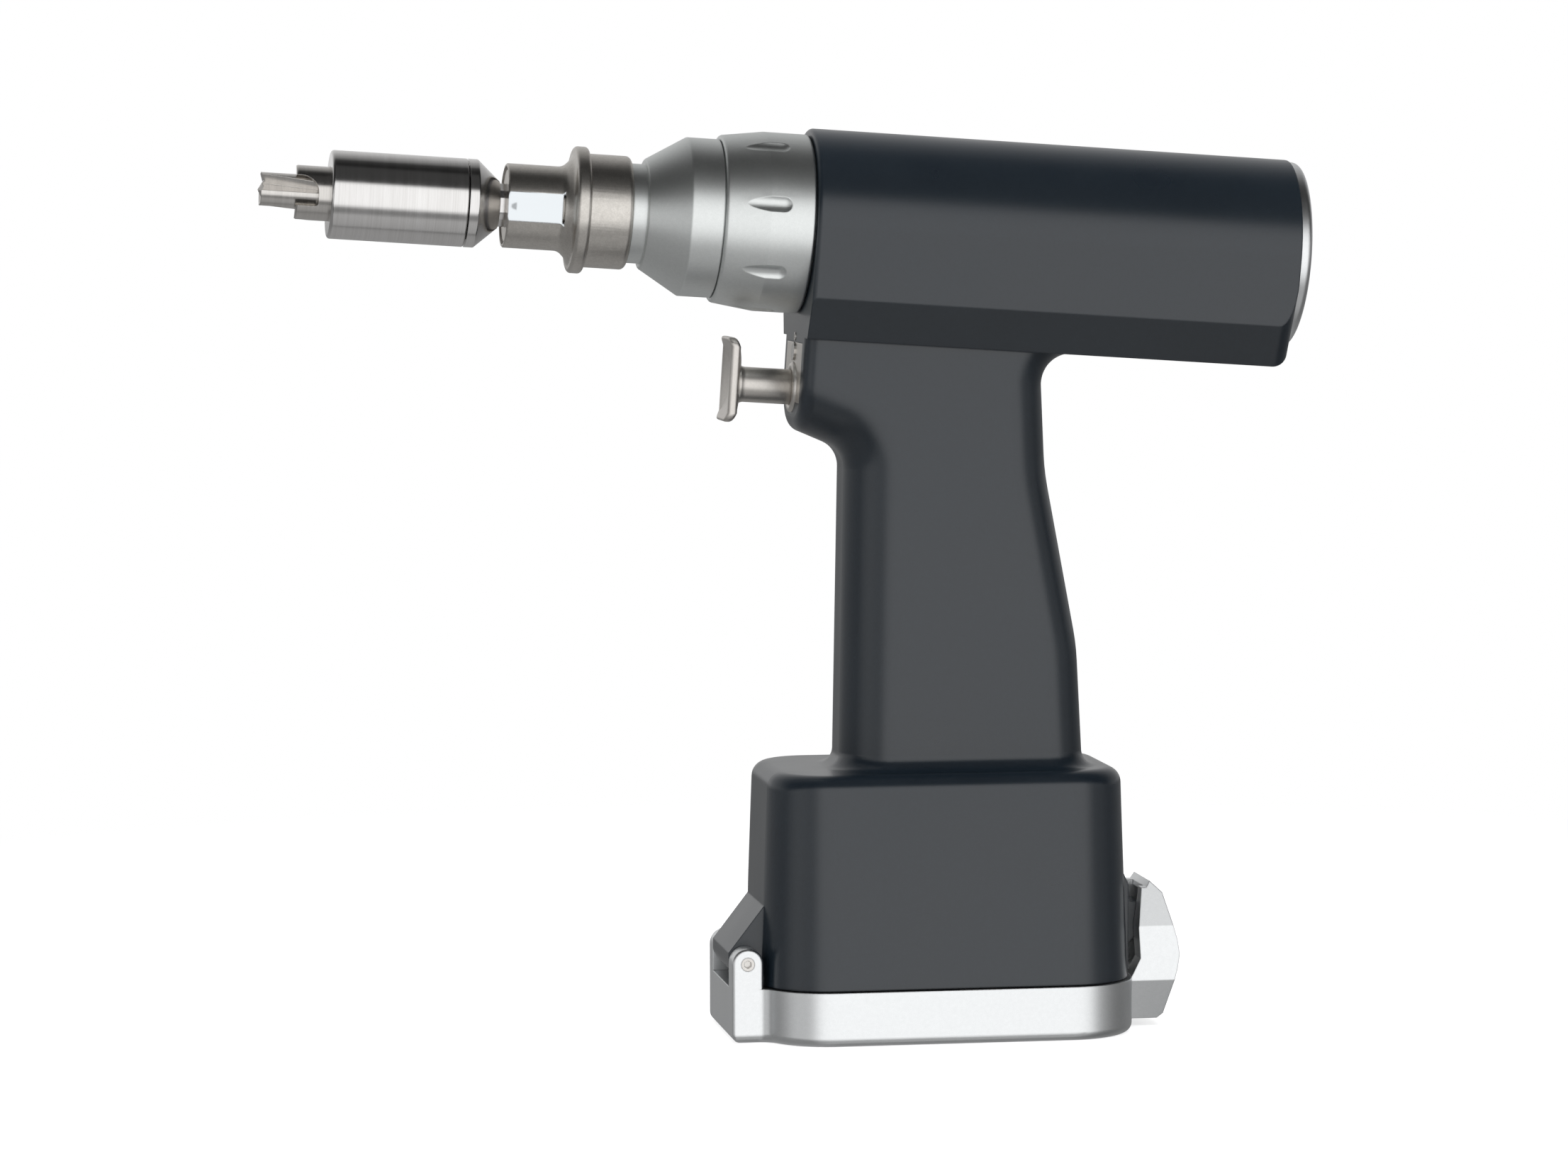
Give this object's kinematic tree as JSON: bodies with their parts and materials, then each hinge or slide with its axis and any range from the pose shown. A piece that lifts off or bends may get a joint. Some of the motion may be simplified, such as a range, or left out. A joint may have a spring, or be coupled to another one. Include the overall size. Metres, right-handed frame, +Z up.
{
  "type": "surgical power drill",
  "caption": "Pistol-grip battery surgical drill with a quick chuck holding a cranial perforator, a trigger and a latched battery lid.",
  "frame": {"origin": "centre of the battery lid's flat underside, on which the drill stands", "axes": "+Z up, nose and perforator towards -X, rear cap towards +X, +Y to the far side; the barrel axis is 3.85 degrees nose-up"},
  "size_m": [0.2736, 0.0624, 0.2367],
  "materials": {
    "housing_black": "satin, finely grained",
    "case_black": "moulded",
    "satin_aluminium": "satin anodised",
    "grey_steel": "bead blasted",
    "brushed_steel": "brushed round its axis",
    "bright_steel": "ground",
    "spring_steel": "drawn wire",
    "core_steel": "laminated",
    "magnet_dark": "plated",
    "copper": "enamelled wire",
    "contact_gold": "plated",
    "board_green": "solder mask",
    "seal_rubber": "matte",
    "cell_wrap": "shrink sleeve"
  },
  "bodies": {
    "housing": {"main_housing": "housing_black", "rear_cap": "satin_aluminium", "rear_cap_seal": "seal_rubber", "nose_cone": "satin_aluminium", "coupling_tube": "grey_steel", "trigger_plate": "housing_black", "plate_plug": "bright_steel", "trigger_bush": "grey_steel", "trigger_sensor": "case_black", "spindle_bearing_outers": "bright_steel", "ring_gear": "grey_steel", "motor_flange": "satin_aluminium", "stator_core": "core_steel", "stator_coils": "copper", "rear_bell": "satin_aluminium", "motor_bearing_outers": "bright_steel", "encoder_board": "board_green", "controller_board": "board_green", "board_parts": "case_black", "contact_block": "case_black", "contact_pins": "contact_gold", "battery_case": "case_black", "battery_base": "case_black", "battery_cells": "cell_wrap"},
    "spindle": {"output_spindle": "bright_steel", "planet_pins": "bright_steel", "spindle_bearing_inners": "bright_steel", "chuck_body": "grey_steel", "chuck_balls": "bright_steel", "chuck_clip": "spring_steel", "chuck_spring": "spring_steel", "perforator_shank": "brushed_steel", "perforator_end_cap": "brushed_steel", "perforator_body": "brushed_steel", "outer_drill": "bright_steel", "clutch_spring": "spring_steel"},
    "release_sleeve": {"chuck_sleeve": "grey_steel"},
    "inner_cutter": {"inner_drill": "bright_steel"},
    "rotor": {"motor_shaft_rod": "bright_steel", "rotor_magnet": "magnet_dark", "motor_bearing_inners": "bright_steel", "encoder_magnet": "magnet_dark", "sun_gear": "grey_steel"},
    "planet_1": {"planet_gear_1": "grey_steel"},
    "planet_2": {"planet_gear_2": "grey_steel"},
    "planet_3": {"planet_gear_3": "grey_steel"},
    "lock_collar": {"lock_ring": "satin_aluminium"},
    "trigger_group": {"trigger": "grey_steel", "trigger_magnet": "magnet_dark", "trigger_spring": "spring_steel"},
    "lid": {"battery_lid": "satin_aluminium", "hinge_screws": "bright_steel"},
    "latch": {"latch_lever": "satin_aluminium", "latch_pin_rod": "bright_steel"}
  },
  "joints": [
    {"name": "spindle_spin", "type": "hinge", "parent": "housing", "child": "spindle", "pos_m": [0, 0, 0.2095], "axis": [0.9977, 0, -0.0671], "continuous": true},
    {"name": "motor_spin", "type": "hinge", "parent": "housing", "child": "rotor", "pos_m": [0.01996, 0, 0.20816], "axis": [0.9977, 0, -0.0671], "continuous": true},
    {"name": "planet_1_spin", "type": "hinge", "parent": "spindle", "child": "planet_1", "pos_m": [-0.02613, 0, 0.22329], "axis": [0.9977, 0, -0.0671], "continuous": true},
    {"name": "planet_2_spin", "type": "hinge", "parent": "spindle", "child": "planet_2", "pos_m": [-0.02734, -0.01039, 0.20533], "axis": [0.9977, 0, -0.0671], "continuous": true},
    {"name": "planet_3_spin", "type": "hinge", "parent": "spindle", "child": "planet_3", "pos_m": [-0.02734, 0.01039, 0.20533], "axis": [0.9977, 0, -0.0671], "continuous": true},
    {"name": "sleeve_slide", "type": "slide", "parent": "spindle", "child": "release_sleeve", "axis": [0.9977, 0, -0.0671], "range_m": [0, 0.0032], "stiffness_N_per_m": 2000, "springref_m": -0.003, "deforming": ["chuck_spring"]},
    {"name": "inner_drill_slide", "type": "slide", "parent": "spindle", "child": "inner_cutter", "axis": [0.9977, 0, -0.0671], "range_m": [0, 0.0015], "stiffness_N_per_m": 2000, "springref_m": -0.003, "deforming": ["clutch_spring"]},
    {"name": "lock_ring_turn", "type": "hinge", "parent": "housing", "child": "lock_collar", "pos_m": [-0.04689, 0, 0.21266], "axis": [0.9977, 0, -0.0671], "range_deg": [0, 35]},
    {"name": "trigger_pull", "type": "slide", "parent": "housing", "child": "trigger_group", "axis": [0.9977, 0, -0.0671], "range_m": [0, 0.008], "stiffness_N_per_m": 700, "springref_m": -0.004, "deforming": ["trigger_spring"]},
    {"name": "lid_hinge", "type": "hinge", "parent": "housing", "child": "lid", "pos_m": [-0.053, 0, 0.0207], "axis": [0, 1, 0], "range_deg": [0, 100]},
    {"name": "latch_hinge", "type": "hinge", "parent": "housing", "child": "latch", "pos_m": [0.0553, 0, 0.029], "axis": [0, -1, 0], "range_deg": [0, 30]}
  ],
  "couplings": [
    {"joint": "motor_spin", "follows": "spindle_spin", "ratio": 5},
    {"joint": "planet_1_spin", "follows": "spindle_spin", "ratio": -2.6667},
    {"joint": "planet_2_spin", "follows": "spindle_spin", "ratio": -2.6667},
    {"joint": "planet_3_spin", "follows": "spindle_spin", "ratio": -2.6667}
  ]
}
